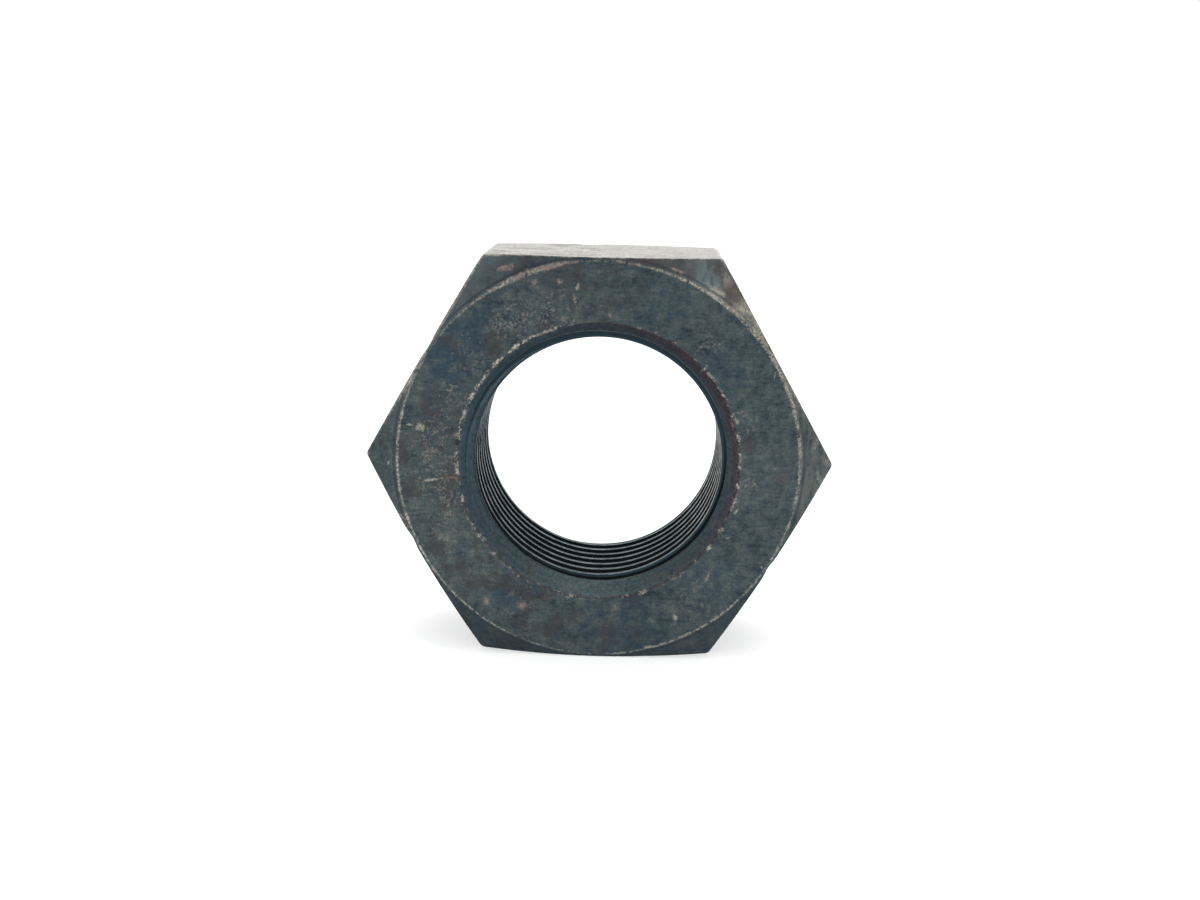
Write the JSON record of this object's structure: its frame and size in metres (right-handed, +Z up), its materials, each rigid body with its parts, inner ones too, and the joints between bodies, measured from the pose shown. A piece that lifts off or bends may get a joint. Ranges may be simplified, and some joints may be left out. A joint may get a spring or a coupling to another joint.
{
  "type": "hex nut",
  "caption": "Chamfered hexagon nut with a fine right-hand internal thread and a countersink at each end.",
  "frame": {"origin": "centre of the nut: on the thread axis, halfway between the two faces", "axes": "+Y along the thread axis from the front face to the back face; +Z up, square to the flat on top; +X towards a corner of the hexagon"},
  "size_m": [0.0528, 0.0186, 0.046],
  "materials": {
    "blackened_steel": "black oxide over turned and drawn steel, worn to bare steel on the upper flats and the edges"
  },
  "bodies": {
    "root": {"hex_nut": "blackened_steel"}
  },
  "joints": []
}
